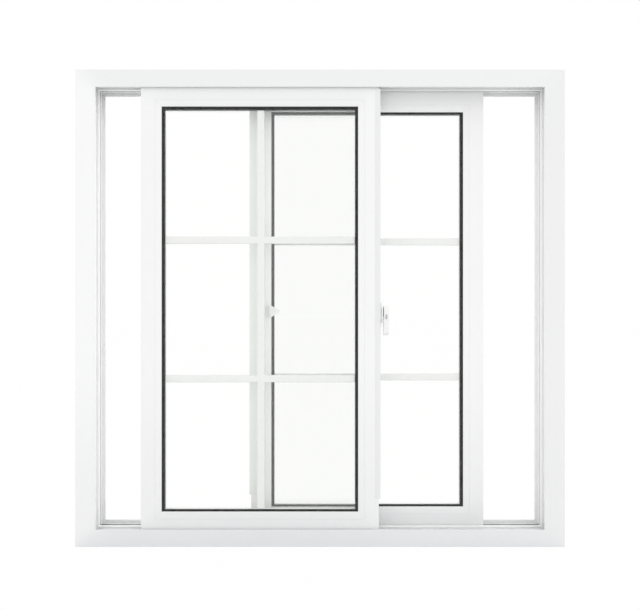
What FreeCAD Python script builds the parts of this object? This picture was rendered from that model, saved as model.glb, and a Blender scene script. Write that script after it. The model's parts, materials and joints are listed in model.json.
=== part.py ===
"""Horizontal sliding window with two glazed sashes, in millimetres.

X runs along the sill to the right as seen from the room, Y from the room to the
outside, Z up. The origin is the middle of the sill's outer bottom face.
"""
import FreeCAD, Part
import math
import os

from FreeCAD import Vector

# Frame
FRAME_WIDTH = 1200.0
FRAME_HEIGHT = 1170.0
FRAME_WALL = 17.0
JAMB_PACKER = 7.0
CHANNEL_DEPTH = 25.0
CHANNEL_WIDTH = 38.0
LIP_THICKNESS = 3.0
DIVIDER_THICKNESS = 10.0
DIVIDER_DROP = 3.0
RIB_THICKNESS = 4.0
RIB_HEIGHT = 20.0
LIP_ROUND = 1.2
REAR_LIP_BEVEL = 2.6
DIVIDER_ROUND = 1.5

# Aluminium track caps on the sill's ribs
TRACK_WALL = 0.8
TRACK_FIT = 0.2
TRACK_CROWN_ROUND = 0.7

# Drains in the sill
DRAIN_LENGTH = 30.0
DRAIN_HEIGHT = 5.0
DRAIN_FROM_CORNER = 150.0

# Fixing holes through the jambs
FIXING_HOLE_RADIUS = 2.6
FIXING_FROM_END = 150.0

# Sash
SASH_LIP_OVERLAP = 10.0
MEETING_OVERLAP = 50.0
SASH_DEPTH = 28.0
SASH_FACE = 35.0
SASH_FLOOR_GAP = 14.0
SASH_HEAD_GAP = 20.0
GROOVE_WIDTH = 16.0
GROOVE_DEPTH = 15.0
FLANGE_THICKNESS = 3.5
GLASS_RECESS = 3.0
CLIP_WIDTH = 3.0
CLIP_DEPTH = 4.0
CLIP_FROM_FACE = 5.0
CLIP_FIT = 0.2

# Glazing
SIGHT_LINE = 51.0
GLASS_BITE = 8.0
PANE_THICKNESS = 3.0
CAVITY = 12.0
GASKET_THICKNESS = 1.5
GASKET_LIP = 3.5
GASKET_ROLL = 1.0
SPACER_PAST_GASKET = 3.6
GRID_BAR_WIDTH = 18.0
GRID_BAR_THICKNESS = 8.0
MIDDLE_LITE_EXTRA = 12.3
GRID_UPRIGHT_SHIFT = 1.8
BEAD_WALL = 2.0
BEAD_BEVEL_WIDTH = 4.0
BEAD_BEVEL_DEPTH = 1.6
SETTING_BLOCK_LENGTH = 80.0
SETTING_BLOCK_SHORT_OF_CARRIAGE = 3.0

# Interlock on the meeting stiles
COVER_THICKNESS = 4.0
HOOK_WALL = 2.5
HOOK_FLANGE = 1.5
HOOK_GAP = 5.0
HOOK_FROM_EDGE = 17.5
INTERLOCK_TOP_GAP = 3.0
INTERLOCK_BOTTOM_GAP = 74.0
RETURN_WIDTH = 8.5
RETURN_THICKNESS = 0.8
KEEPER_NOTCH_GAP = 6.0

# Roller carriages
WHEEL_RADIUS = 10.0
WHEEL_WIDTH = 9.0
WHEEL_GROOVE_DEPTH = 1.5
WHEEL_GROOVE_PLAY = 0.3
WHEEL_SIDE_PLAY = 0.8
AXLE_RADIUS = 2.0
AXLE_PLAY = 0.1
CARRIAGE_WALL = 1.2
CARRIAGE_LENGTH = 70.0
CARRIAGE_FROM_EDGE = 95.0
CARRIAGE_TRACK_GAP = 5.0
CARRIAGE_TOP_SPACE = 2.7
ROLL_GAP = 0.3

# Sash lock
LOCK_BELOW_MIDDLE = 8.0
LOCK_PLATE_THICKNESS = 2.5
LOCK_PLATE_WIDTH = 20.0
LOCK_PLATE_ABOVE = 23.0
LOCK_PLATE_BELOW = 40.0
LOCK_PLATE_CORNER = 6.0
SPINDLE_RADIUS = 4.0
SPINDLE_PLAY = 0.1
SPINDLE_LENGTH = 14.0
CAM_GAP = 0.3
CAM_THICKNESS = 2.5
CAM_SASH_GAP = 5.0
CAM_RING = 2.8
CAM_TIP_ANGLE = 120.0
CAM_WEB_HALF_ANGLE = 25.0
HUB_RADIUS = 13.0
NECK_RADIUS = 9.0
NECK_LENGTH = 3.2
LEVER_THICKNESS = 12.8
LEVER_REACH = 59.0
LEVER_END_RADIUS = 8.0
LEVER_ROUND = 3.0

# Keeper on the rear sash
KEEPER_THICKNESS = 2.0
KEEPER_LENGTH = 26.0
KEEPER_HALF_HEIGHT = 15.0
KEEPER_TIP_RADIUS = 3.0
KEEPER_BASE_WIDTH = 22.0
KEEPER_BASE_THICKNESS = 3.0
KEEPER_STEM_WIDTH = 4.0
KEEPER_HUB_GAP = 7.5

# How far each sash is slid from its closed place
FRONT_SASH_SLID = 119.9
REAR_SASH_SLID = 148.7

# Worked out from the sizes above
FRAME_DEPTH = 2 * (LIP_THICKNESS + CHANNEL_WIDTH) + DIVIDER_THICKNESS
HALF_DEPTH = FRAME_DEPTH / 2
LIP_HEIGHT = FRAME_WALL + CHANNEL_DEPTH
DIVIDER_HEIGHT = LIP_HEIGHT - DIVIDER_DROP
RIB_TOP = FRAME_WALL + RIB_HEIGHT
TRACK_Y = DIVIDER_THICKNESS / 2 + CHANNEL_WIDTH / 2
TRACK_TOP = RIB_TOP + TRACK_WALL
CLEAR_WIDTH = FRAME_WIDTH - 2 * (JAMB_PACKER + LIP_HEIGHT)
SASH_WIDTH = (CLEAR_WIDTH + 2 * SASH_LIP_OVERLAP + MEETING_OVERLAP) / 2
CLOSED_EDGE_X = CLEAR_WIDTH / 2 + SASH_LIP_OVERLAP
SASH_BOTTOM = FRAME_WALL + SASH_FLOOR_GAP
SASH_TOP = FRAME_HEIGHT - FRAME_WALL - SASH_HEAD_GAP
SASH_HEIGHT = SASH_TOP - SASH_BOTTOM
SASH_MIDDLE_Z = (SASH_TOP + SASH_BOTTOM) / 2
SASH_FACE_Y = SASH_DEPTH / 2
FLANGE_Y = SASH_FACE_Y - FLANGE_THICKNESS
INNER_PANE_Y = -SASH_FACE_Y + GLASS_RECESS + GASKET_THICKNESS
OUTER_PANE_Y = INNER_PANE_Y + PANE_THICKNESS + CAVITY
GLASS_BACK_Y = OUTER_PANE_Y + PANE_THICKNESS
GLASS_EDGE = SIGHT_LINE - GLASS_BITE
SPACER_EDGE = SIGHT_LINE + GASKET_LIP + SPACER_PAST_GASKET
OUTER_LITE = (SASH_HEIGHT - 2 * SPACER_EDGE - 2 * GRID_BAR_WIDTH - MIDDLE_LITE_EXTRA) / 3
GRID_ROW_PITCH = OUTER_LITE + MIDDLE_LITE_EXTRA + GRID_BAR_WIDTH
LOCK_HEIGHT = FRAME_HEIGHT / 2 - LOCK_BELOW_MIDDLE
CAM_OUTER_RADIUS = 2 * TRACK_Y - SASH_FACE_Y - CAM_SASH_GAP
KEEPER_FRONT_Y = HUB_RADIUS + KEEPER_HUB_GAP - TRACK_Y


def polygon_face(points):
    """Return the flat face inside a closed outline."""
    return Part.Face(Part.makePolygon(list(points) + [points[0]]))


def section_face(points):
    """Return a face in the YZ plane from (y, height) points."""
    return polygon_face([Vector(0, y, z) for y, z in points])


def block(x0, x1, y0, y1, z0, z1):
    """Return a box between two opposite corners."""
    return Part.makeBox(x1 - x0, y1 - y0, z1 - z0, Vector(x0, y0, z0))


def cylinder_x(radius, x0, x1, y, z):
    """Return a cylinder along X."""
    return Part.makeCylinder(radius, x1 - x0, Vector(x0, y, z), Vector(1, 0, 0))


def join(shapes):
    """Fuse touching shapes into one clean solid."""
    return shapes[0].multiFuse(shapes[1:]).removeSplitter()


def mitred_bar(face, length, depth, square_strip=0.0):
    """Extrude a section along X, centred, with 45 degree ends that start above a square strip."""
    half = length / 2
    bar = face.extrude(Vector(length, 0, 0))
    bar.translate(Vector(-half, 0, 0))
    corners = [(-half, 0), (half, 0)]
    if square_strip:
        corners.append((half, square_strip))
    corners.append((half - depth, depth + square_strip))
    corners.append((-half + depth, depth + square_strip))
    if square_strip:
        corners.append((-half, square_strip))
    outline = polygon_face([Vector(x, -FRAME_DEPTH, z) for x, z in corners])
    return bar.common(outline.extrude(Vector(0, 2 * FRAME_DEPTH, 0)))


SIDE_ANGLE = {"bottom": 0.0, "left": 90.0, "top": 180.0, "right": -90.0}


def place_on_side(bar, side, width, height):
    """Move a bar from the X axis to one side of a width by height ring round the origin."""
    reach = height / 2 if side in ("bottom", "top") else width / 2
    bar.translate(Vector(0, 0, -reach))
    bar.rotate(Vector(0, 0, 0), Vector(0, 1, 0), SIDE_ANGLE[side])
    return bar


def ring_member(points, side, width, height):
    """Return one mitred member of a ring, from its section as (y, distance inwards) points."""
    length = width if side in ("bottom", "top") else height
    depth = max(z for _, z in points)
    bar = mitred_bar(section_face(points), length, depth)
    return place_on_side(bar, side, width, height)


def whole_ring(points, width, height):
    """Return a closed ring whose four mitred members are one solid."""
    return join([ring_member(points, side, width, height) for side in SIDE_ANGLE])


class Frame:
    """Outer frame: two channels side by side between lips, with a rib along each floor."""

    def section(self, base):
        """Return the extrusion's outline; base is added under the channel floors."""
        lip = base + LIP_HEIGHT
        floor = base + FRAME_WALL
        rib = base + RIB_TOP
        leg = DIVIDER_THICKNESS / 2
        half_rib = RIB_THICKNESS / 2
        right = [
            (HALF_DEPTH, 0),
            (HALF_DEPTH, lip),
            (HALF_DEPTH - LIP_THICKNESS, lip),
            (HALF_DEPTH - LIP_THICKNESS, floor),
            (TRACK_Y + half_rib, floor),
            (TRACK_Y + half_rib, rib),
            (TRACK_Y - half_rib, rib),
            (TRACK_Y - half_rib, floor),
            (leg, floor),
            (leg, base + DIVIDER_HEIGHT),
        ]
        return right + [(-y, z) for y, z in reversed(right)]

    def rail(self, side):
        """Return the head or the sill, mitred above the jambs' packing strip."""
        length = FRAME_WIDTH - 2 * JAMB_PACKER
        bar = mitred_bar(section_face(self.section(0.0)), length, LIP_HEIGHT)
        bar = place_on_side(self.soften(bar, LIP_HEIGHT), side, FRAME_WIDTH, FRAME_HEIGHT)
        bar.translate(Vector(0, 0, FRAME_HEIGHT / 2))
        return bar

    def jamb(self, side):
        """Return a jamb: the same extrusion on a packing strip that runs to the corners."""
        bar = mitred_bar(section_face(self.section(JAMB_PACKER)), FRAME_HEIGHT, LIP_HEIGHT, JAMB_PACKER)
        bar = place_on_side(self.soften(bar, LIP_HEIGHT + JAMB_PACKER), side, FRAME_WIDTH, FRAME_HEIGHT)
        bar.translate(Vector(0, 0, FRAME_HEIGHT / 2))
        return bar.cut(self.fixing_holes(side))

    def long_edges(self, bar, y, height):
        """Return a bar's lengthwise edges at that height, at y and at -y."""
        edges = []
        for edge in bar.Edges:
            ends = [vertex.Point for vertex in edge.Vertexes]
            if all(abs(abs(p.y) - y) < 0.01 and abs(p.z - height) < 0.01 for p in ends):
                edges.append(edge)
        return edges

    def soften(self, bar, lip_height):
        """Round the lips' outer edges and the divider, and bevel the rear lip towards its channel."""
        bar = bar.makeFillet(LIP_ROUND, self.long_edges(bar, HALF_DEPTH, lip_height))
        divider_height = lip_height - DIVIDER_DROP
        bar = bar.makeFillet(DIVIDER_ROUND, self.long_edges(bar, DIVIDER_THICKNESS / 2, divider_height))
        inner_edges = self.long_edges(bar, HALF_DEPTH - LIP_THICKNESS, lip_height)
        rear_edges = [edge for edge in inner_edges if edge.BoundBox.YMin > 0]
        return bar.makeChamfer(REAR_LIP_BEVEL, REAR_LIP_BEVEL / 2, rear_edges)

    def fixing_holes(self, side):
        """Return the screw holes' cutters, between the rear channel's rib and the divider."""
        outer_x = -FRAME_WIDTH / 2 if side == "left" else FRAME_WIDTH / 2
        thickness = FRAME_WALL + JAMB_PACKER
        start = outer_x - thickness - 1 if side == "right" else outer_x - 1
        y = (TRACK_Y - RIB_THICKNESS / 2 + DIVIDER_THICKNESS / 2) / 2
        heights = (FIXING_FROM_END, FRAME_HEIGHT / 2, FRAME_HEIGHT - FIXING_FROM_END)
        end = start + thickness + 2
        holes = [cylinder_x(FIXING_HOLE_RADIUS, start, end, y, z) for z in heights]
        return Part.makeCompound(holes)

    def sill(self):
        """Return the sill with slots that drain both channels to the outside."""
        bar = self.rail("bottom")
        x = FRAME_WIDTH / 2 - DRAIN_FROM_CORNER
        slots = []
        for sign in (-1, 1):
            x0 = sign * x - DRAIN_LENGTH / 2
            x1 = x0 + DRAIN_LENGTH
            top = FRAME_WALL + DRAIN_HEIGHT
            slots.append(block(x0, x1, -TRACK_Y - RIB_THICKNESS, HALF_DEPTH + 1, FRAME_WALL, top))
        return bar.cut(Part.makeCompound(slots))

    def track(self, y):
        """Return the aluminium cap over one of the sill's ribs, clear of the mitres."""
        inner = RIB_THICKNESS / 2 + TRACK_FIT
        outer = inner + TRACK_WALL
        bottom = FRAME_WALL + DRAIN_HEIGHT
        crown = TRACK_TOP
        points = [
            (y - outer, bottom),
            (y - inner, bottom),
            (y - inner, RIB_TOP),
            (y + inner, RIB_TOP),
            (y + inner, bottom),
            (y + outer, bottom),
            (y + outer, crown),
            (y - outer, crown),
        ]
        length = FRAME_WIDTH - 2 * (JAMB_PACKER + FRAME_WALL + RIB_HEIGHT + TRACK_WALL)
        bar = section_face(points).extrude(Vector(length, 0, 0))
        bar.translate(Vector(-length / 2, 0, 0))
        crown_edges = [
            e for e in bar.Edges if abs(e.BoundBox.ZMin - crown) < 0.01 and e.Length > length / 2
        ]
        return bar.makeFillet(TRACK_CROWN_ROUND, crown_edges)

    def nodes(self):
        """Return the frame's pieces by name."""
        return {
            "frame_head": self.rail("top"),
            "frame_sill": self.sill(),
            "frame_left_jamb": self.jamb("left"),
            "frame_right_jamb": self.jamb("right"),
            "front_sill_track": self.track(-TRACK_Y),
            "rear_sill_track": self.track(TRACK_Y),
        }


class Sash:
    """Glazed sash; meeting is +1 where its meeting stile is on the right, else -1."""

    def __init__(self, name, x, y, meeting):
        self.name = name
        self.x = x
        self.y = y
        self.meeting = meeting

    def placed(self, shape):
        """Move a shape from the sash's own middle to its place in the frame."""
        shape.translate(Vector(self.x, self.y, SASH_MIDDLE_Z))
        return shape

    def profile(self):
        """Return the sash extrusion's outline, with the groove that straddles a rib."""
        half_groove = GROOVE_WIDTH / 2
        clip_y = -SASH_FACE_Y + CLIP_FROM_FACE
        return [
            (-SASH_FACE_Y, 0),
            (-half_groove, 0),
            (-half_groove, GROOVE_DEPTH),
            (half_groove, GROOVE_DEPTH),
            (half_groove, 0),
            (SASH_FACE_Y, 0),
            (SASH_FACE_Y, SIGHT_LINE),
            (FLANGE_Y, SIGHT_LINE),
            (FLANGE_Y, SASH_FACE),
            (clip_y + CLIP_WIDTH, SASH_FACE),
            (clip_y + CLIP_WIDTH, SASH_FACE - CLIP_DEPTH),
            (clip_y, SASH_FACE - CLIP_DEPTH),
            (clip_y, SASH_FACE),
            (-SASH_FACE_Y, SASH_FACE),
        ]

    def bead_profile(self):
        """Return the room-side glazing bead, with the foot that clips into the sash."""
        face = -SASH_FACE_Y
        glass_side = face + GLASS_RECESS
        foot_right = face + CLIP_FROM_FACE + CLIP_WIDTH - CLIP_FIT
        foot_left = face + CLIP_FROM_FACE + CLIP_FIT
        return [
            (face, SASH_FACE),
            (face, SIGHT_LINE - BEAD_BEVEL_WIDTH),
            (face + BEAD_BEVEL_DEPTH, SIGHT_LINE),
            (glass_side, SIGHT_LINE),
            (glass_side, SASH_FACE + BEAD_WALL),
            (foot_right, SASH_FACE + BEAD_WALL),
            (foot_right, SASH_FACE - CLIP_DEPTH + CLIP_FIT),
            (foot_left, SASH_FACE - CLIP_DEPTH + CLIP_FIT),
            (foot_left, SASH_FACE),
        ]

    def gasket_profile(self, glass_y, seat_y):
        """Return a gasket between the glass and its seat, with a lip rolled over the seat's edge."""
        out = -1 if seat_y < glass_y else 1
        return [
            (glass_y, GLASS_EDGE + BEAD_WALL),
            (glass_y, SIGHT_LINE + GASKET_LIP),
            (glass_y + out * GASKET_THICKNESS / 2, SIGHT_LINE + GASKET_LIP),
            (seat_y + out * GASKET_ROLL, SIGHT_LINE + GASKET_ROLL),
            (seat_y + out * GASKET_ROLL, SIGHT_LINE),
            (seat_y, SIGHT_LINE),
            (seat_y, GLASS_EDGE + BEAD_WALL),
        ]

    def member(self, side):
        """Return one mitred member of the sash."""
        bar = ring_member(self.profile(), side, SASH_WIDTH, SASH_HEIGHT)
        if side == "bottom":
            bar = bar.cut(self.carriage_pockets())
        return self.placed(bar)

    def bead(self, side):
        """Return one mitred glazing bead."""
        return self.placed(ring_member(self.bead_profile(), side, SASH_WIDTH, SASH_HEIGHT))

    def gaskets(self):
        """Return the room-side and the outer glazing gasket."""
        inner = self.gasket_profile(INNER_PANE_Y, -SASH_FACE_Y + GLASS_RECESS)
        outer = self.gasket_profile(GLASS_BACK_Y, FLANGE_Y)
        rings = [whole_ring(points, SASH_WIDTH, SASH_HEIGHT) for points in (inner, outer)]
        return self.placed(Part.makeCompound(rings))

    def pane(self, y):
        """Return one sheet of glass with its room-side face at y."""
        half_width = SASH_WIDTH / 2 - GLASS_EDGE
        half_height = SASH_HEIGHT / 2 - GLASS_EDGE
        sheet = block(-half_width, half_width, y, y + PANE_THICKNESS, -half_height, half_height)
        return self.placed(sheet)

    def spacer(self):
        """Return the edge spacer and seal that hold the two panes apart."""
        cavity_y = INNER_PANE_Y + PANE_THICKNESS
        points = [
            (cavity_y, GLASS_EDGE),
            (cavity_y, SPACER_EDGE),
            (cavity_y + CAVITY, SPACER_EDGE),
            (cavity_y + CAVITY, GLASS_EDGE),
        ]
        return self.placed(whole_ring(points, SASH_WIDTH, SASH_HEIGHT))

    def grid(self):
        """Return the crossed bars between the panes, one upright and two across."""
        half_width = SASH_WIDTH / 2 - SPACER_EDGE
        half_height = SASH_HEIGHT / 2 - SPACER_EDGE
        middle_y = INNER_PANE_Y + PANE_THICKNESS + CAVITY / 2
        y0 = middle_y - GRID_BAR_THICKNESS / 2
        y1 = middle_y + GRID_BAR_THICKNESS / 2
        half_bar = GRID_BAR_WIDTH / 2
        x = GRID_UPRIGHT_SHIFT
        bars = [block(x - half_bar, x + half_bar, y0, y1, -half_height, half_height)]
        for z in (-GRID_ROW_PITCH / 2, GRID_ROW_PITCH / 2):
            bars.append(block(-half_width, half_width, y0, y1, z - half_bar, z + half_bar))
        return self.placed(join(bars))

    def interlock_section(self):
        """Return the cover, its return and its hook as (x, y) points; the meeting edge is at x 0."""
        face = SASH_FACE_Y
        flange = face + HOOK_FLANGE
        leg_outer = -HOOK_FROM_EDGE
        lip_tip = leg_outer - HOOK_WALL - HOOK_GAP
        lip_back = 2 * TRACK_Y - face - HOOK_GAP
        return [
            (COVER_THICKNESS, -face - RETURN_THICKNESS),
            (COVER_THICKNESS, flange),
            (leg_outer, flange),
            (leg_outer, lip_back),
            (lip_tip, lip_back),
            (lip_tip, lip_back - HOOK_WALL),
            (leg_outer - HOOK_WALL, lip_back - HOOK_WALL),
            (leg_outer - HOOK_WALL, face),
            (0, face),
            (0, -face),
            (-RETURN_WIDTH, -face),
            (-RETURN_WIDTH, -face - RETURN_THICKNESS),
        ]

    def interlock(self):
        """Return the cover of the meeting stile's edge with its hook towards the other sash."""
        z0 = LIP_HEIGHT + INTERLOCK_BOTTOM_GAP
        z1 = FRAME_HEIGHT - LIP_HEIGHT - INTERLOCK_TOP_GAP
        outline = polygon_face([Vector(x, y, z0) for x, y in self.interlock_section()])
        hook = outline.extrude(Vector(0, 0, z1 - z0))
        if self.meeting < 0:
            hook.rotate(Vector(0, 0, 0), Vector(0, 0, 1), 180)
        hook.translate(Vector(self.x + self.meeting * SASH_WIDTH / 2, self.y, 0))
        return hook

    def carriage_centres(self):
        """Return the X places of the two roller carriages."""
        reach = SASH_WIDTH / 2 - CARRIAGE_FROM_EDGE
        return (-reach, reach)

    def wheel_height(self):
        """Return the wheels' axis height in the frame."""
        return TRACK_TOP + ROLL_GAP + WHEEL_RADIUS - WHEEL_GROOVE_DEPTH

    def carriage_top(self):
        """Return the height of the carriage's top in the frame."""
        return self.wheel_height() + WHEEL_RADIUS + CARRIAGE_TOP_SPACE

    def carriage_pockets(self):
        """Return the cutters for the carriages, in the sash's own place."""
        half_length = CARRIAGE_LENGTH / 2
        half_width = GROOVE_WIDTH / 2
        z0 = -SASH_HEIGHT / 2
        z1 = self.carriage_top() - SASH_MIDDLE_Z
        cutters = []
        for x in self.carriage_centres():
            cutters.append(block(x - half_length, x + half_length, -half_width, half_width, z0, z1))
        return Part.makeCompound(cutters)

    def roller_housings(self):
        """Return the two channel-shaped carriages with holes for their axles."""
        inner = WHEEL_WIDTH / 2 + WHEEL_SIDE_PLAY
        outer = inner + CARRIAGE_WALL
        top = self.carriage_top()
        bottom = TRACK_TOP + CARRIAGE_TRACK_GAP
        half_length = CARRIAGE_LENGTH / 2
        shapes = []
        for x in self.carriage_centres():
            x0 = self.x + x - half_length
            x1 = self.x + x + half_length
            body = block(x0, x1, self.y - outer, self.y + outer, bottom, top)
            hollow = block(x0, x1, self.y - inner, self.y + inner, bottom, top - CARRIAGE_WALL)
            axle_hole = Part.makeCylinder(
                AXLE_RADIUS + AXLE_PLAY,
                2 * outer,
                Vector(self.x + x, self.y - outer, self.wheel_height()),
                Vector(0, 1, 0),
            )
            shapes.append(body.cut(hollow).cut(axle_hole))
        return Part.makeCompound(shapes)

    def rollers(self):
        """Return the two grooved wheels, each with its axle."""
        half = WHEEL_WIDTH / 2
        axle_half = half + WHEEL_SIDE_PLAY + CARRIAGE_WALL
        tread = WHEEL_RADIUS - WHEEL_GROOVE_DEPTH
        tread_half = RIB_THICKNESS / 2 + TRACK_FIT + TRACK_WALL + WHEEL_GROOVE_PLAY
        near_side = [
            (0, -axle_half),
            (AXLE_RADIUS, -axle_half),
            (AXLE_RADIUS, -half),
            (WHEEL_RADIUS, -half),
            (WHEEL_RADIUS, -tread_half),
            (tread, -tread_half),
        ]
        outline = near_side + [(r, -y) for r, y in reversed(near_side)]
        shapes = []
        for x in self.carriage_centres():
            face = polygon_face([Vector(r, y, 0) for r, y in outline])
            wheel = face.revolve(Vector(0, 0, 0), Vector(0, 1, 0), 360)
            wheel.translate(Vector(self.x + x, self.y, self.wheel_height()))
            shapes.append(wheel)
        return Part.makeCompound(shapes)

    def setting_blocks(self):
        """Return the two packers that carry the glass's bottom edge, over the carriages."""
        half_length = SETTING_BLOCK_LENGTH / 2
        carriage_end = max(self.carriage_centres()) + CARRIAGE_LENGTH / 2
        reach = carriage_end - SETTING_BLOCK_SHORT_OF_CARRIAGE - half_length
        z0 = -SASH_HEIGHT / 2 + SASH_FACE
        z1 = -SASH_HEIGHT / 2 + GLASS_EDGE
        y0 = -SASH_FACE_Y + CLIP_FROM_FACE + CLIP_WIDTH
        blocks = []
        for x in (-reach, reach):
            blocks.append(block(x - half_length, x + half_length, y0, FLANGE_Y, z0, z1))
        return self.placed(Part.makeCompound(blocks))

    def nodes(self):
        """Return the sash's pieces by name."""
        sides = {"top": "top_rail", "bottom": "bottom_rail", "left": "left_stile", "right": "right_stile"}
        pieces = {}
        for side, label in sides.items():
            pieces[f"{self.name}_{label}"] = self.member(side)
            pieces[f"{self.name}_{side}_bead"] = self.bead(side)
        pieces[f"{self.name}_gaskets"] = self.gaskets()
        pieces[f"{self.name}_inner_pane"] = self.pane(INNER_PANE_Y)
        pieces[f"{self.name}_outer_pane"] = self.pane(OUTER_PANE_Y)
        pieces[f"{self.name}_glass_spacer"] = self.spacer()
        pieces[f"{self.name}_grid_bars"] = self.grid()
        pieces[f"{self.name}_setting_blocks"] = self.setting_blocks()
        pieces[f"{self.name}_interlock"] = self.interlock()
        pieces[f"{self.name}_roller_housings"] = self.roller_housings()
        pieces[f"{self.name}_rollers"] = self.rollers()
        return pieces


class SashLock:
    """Cam lock on the front sash's meeting edge, and its keeper on the rear sash."""

    def __init__(self, front, rear):
        self.x = front.x + SASH_WIDTH / 2 + COVER_THICKNESS
        self.y = front.y
        self.rear = rear

    def base(self):
        """Return the screwed plate with the spindle that the lever turns on."""
        half = LOCK_PLATE_WIDTH / 2
        z0 = LOCK_HEIGHT - LOCK_PLATE_BELOW
        z1 = LOCK_HEIGHT + LOCK_PLATE_ABOVE
        plate = block(self.x, self.x + LOCK_PLATE_THICKNESS, self.y - half, self.y + half, z0, z1)
        corners = [
            e for e in plate.Edges if e.BoundBox.XLength > LOCK_PLATE_THICKNESS / 2
        ]
        plate = plate.makeFillet(LOCK_PLATE_CORNER, corners)
        spindle_end = self.x + LOCK_PLATE_THICKNESS + SPINDLE_LENGTH
        spindle = cylinder_x(SPINDLE_RADIUS, self.x, spindle_end, self.y, LOCK_HEIGHT)
        return join([plate, spindle])

    def sector(self, radius, angle0, angle1):
        """Return a flat disc sector about the spindle; angles run from +Y towards +Z."""
        reach = 2 * radius
        steps = 4
        points = [Vector(0, 0, 0)]
        for i in range(steps + 1):
            angle = math.radians(angle0 + (angle1 - angle0) * i / steps)
            points.append(Vector(0, reach * math.cos(angle), reach * math.sin(angle)))
        wedge = polygon_face(points).extrude(Vector(CAM_THICKNESS, 0, 0))
        return cylinder_x(radius, 0, CAM_THICKNESS, 0, 0).common(wedge)

    def cam(self):
        """Return the open hook that turns behind the keeper, with its web to the hub."""
        inner = CAM_OUTER_RADIUS - CAM_RING
        end = 270 + CAM_WEB_HALF_ANGLE
        arc = self.sector(CAM_OUTER_RADIUS, CAM_TIP_ANGLE, end)
        arc = arc.cut(cylinder_x(inner, -1, CAM_THICKNESS + 1, 0, 0))
        web = self.sector(CAM_OUTER_RADIUS, 270 - CAM_WEB_HALF_ANGLE, end)
        hub = cylinder_x(HUB_RADIUS, 0, CAM_THICKNESS, 0, 0)
        return join([arc, web, hub])

    def lever_body(self):
        """Return the tapered grip, hanging from the hub."""
        drop = LEVER_REACH - LEVER_END_RADIUS
        lean = math.asin((HUB_RADIUS - LEVER_END_RADIUS) / drop)
        side_y = math.cos(lean)
        side_z = math.sin(lean)
        top = Vector(0, HUB_RADIUS * side_y, -HUB_RADIUS * side_z)
        low = Vector(0, LEVER_END_RADIUS * side_y, -drop - LEVER_END_RADIUS * side_z)
        mirror = [Vector(0, -p.y, p.z) for p in (low, top)]
        edges = [
            Part.LineSegment(top, low).toShape(),
            Part.Arc(low, Vector(0, 0, -drop - LEVER_END_RADIUS), mirror[0]).toShape(),
            Part.LineSegment(mirror[0], mirror[1]).toShape(),
            Part.Arc(mirror[1], Vector(0, 0, HUB_RADIUS), top).toShape(),
        ]
        grip = Part.Face(Part.Wire(edges)).extrude(Vector(LEVER_THICKNESS, 0, 0))
        rim = [e for e in grip.Edges if e.BoundBox.XMin > LEVER_THICKNESS - 0.01]
        return grip.makeFillet(LEVER_ROUND, rim)

    def lever(self):
        """Return the cam, neck and grip as one casting, with a blind bore for the spindle."""
        neck_end = CAM_THICKNESS + NECK_LENGTH
        neck = cylinder_x(NECK_RADIUS, 0, neck_end, 0, 0)
        grip = self.lever_body()
        grip.translate(Vector(neck_end, 0, 0))
        casting = join([self.cam(), neck, grip])
        casting.translate(Vector(self.x + LOCK_PLATE_THICKNESS + CAM_GAP, self.y, LOCK_HEIGHT))
        bore_end = self.x + LOCK_PLATE_THICKNESS + SPINDLE_LENGTH + 0.5
        bore = cylinder_x(SPINDLE_RADIUS + SPINDLE_PLAY, self.x, bore_end, self.y, LOCK_HEIGHT)
        return casting.cut(bore)

    def keeper(self):
        """Return the keeper: a base on the stile, a stem, and a rounded fin beyond the stile."""
        stile_edge = self.rear.x - SASH_WIDTH / 2 + SIGHT_LINE
        face_y = self.rear.y - SASH_FACE_Y
        z = LOCK_HEIGHT
        half = KEEPER_HALF_HEIGHT
        base = block(
            stile_edge - KEEPER_BASE_WIDTH,
            stile_edge,
            face_y - KEEPER_BASE_THICKNESS,
            face_y,
            z - half,
            z + half,
        )
        stem = block(stile_edge - KEEPER_STEM_WIDTH, stile_edge, KEEPER_FRONT_Y, face_y, z - half, z + half)
        tip_x = stile_edge + KEEPER_LENGTH
        outline = [
            Vector(stile_edge - KEEPER_STEM_WIDTH, KEEPER_FRONT_Y, z - half),
            Vector(stile_edge, KEEPER_FRONT_Y, z - half),
            Vector(tip_x, KEEPER_FRONT_Y, z),
            Vector(stile_edge, KEEPER_FRONT_Y, z + half),
            Vector(stile_edge - KEEPER_STEM_WIDTH, KEEPER_FRONT_Y, z + half),
        ]
        fin = polygon_face(outline).extrude(Vector(0, KEEPER_THICKNESS, 0))
        tip = [e for e in fin.Edges if e.BoundBox.XMin > tip_x - 0.01]
        fin = fin.makeFillet(KEEPER_TIP_RADIUS, tip)
        return join([base, stem, fin])


def notch_for_keeper(hook, front):
    """Cut the front sash's hook where the keeper passes through it."""
    half = KEEPER_HALF_HEIGHT + KEEPER_NOTCH_GAP
    edge = front.x + SASH_WIDTH / 2
    lip_tip = edge - HOOK_FROM_EDGE - HOOK_WALL - HOOK_GAP
    y0 = front.y + SASH_FACE_Y + HOOK_FLANGE
    cutter = block(lip_tip - 1, edge, y0, TRACK_Y, LOCK_HEIGHT - half, LOCK_HEIGHT + half)
    return hook.cut(cutter)


def build():
    """Return every piece of the window by node name."""
    pieces = Frame().nodes()
    closed_centre = CLOSED_EDGE_X - SASH_WIDTH / 2
    front = Sash("front_sash", FRONT_SASH_SLID - closed_centre, -TRACK_Y, 1)
    rear = Sash("rear_sash", closed_centre - REAR_SASH_SLID, TRACK_Y, -1)
    for sash in (front, rear):
        pieces.update(sash.nodes())
    hook = "front_sash_interlock"
    pieces[hook] = notch_for_keeper(pieces[hook], front)
    lock = SashLock(front, rear)
    pieces["lock_base"] = lock.base()
    pieces["lock_lever"] = lock.lever()
    pieces["lock_keeper"] = lock.keeper()
    return pieces


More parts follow.
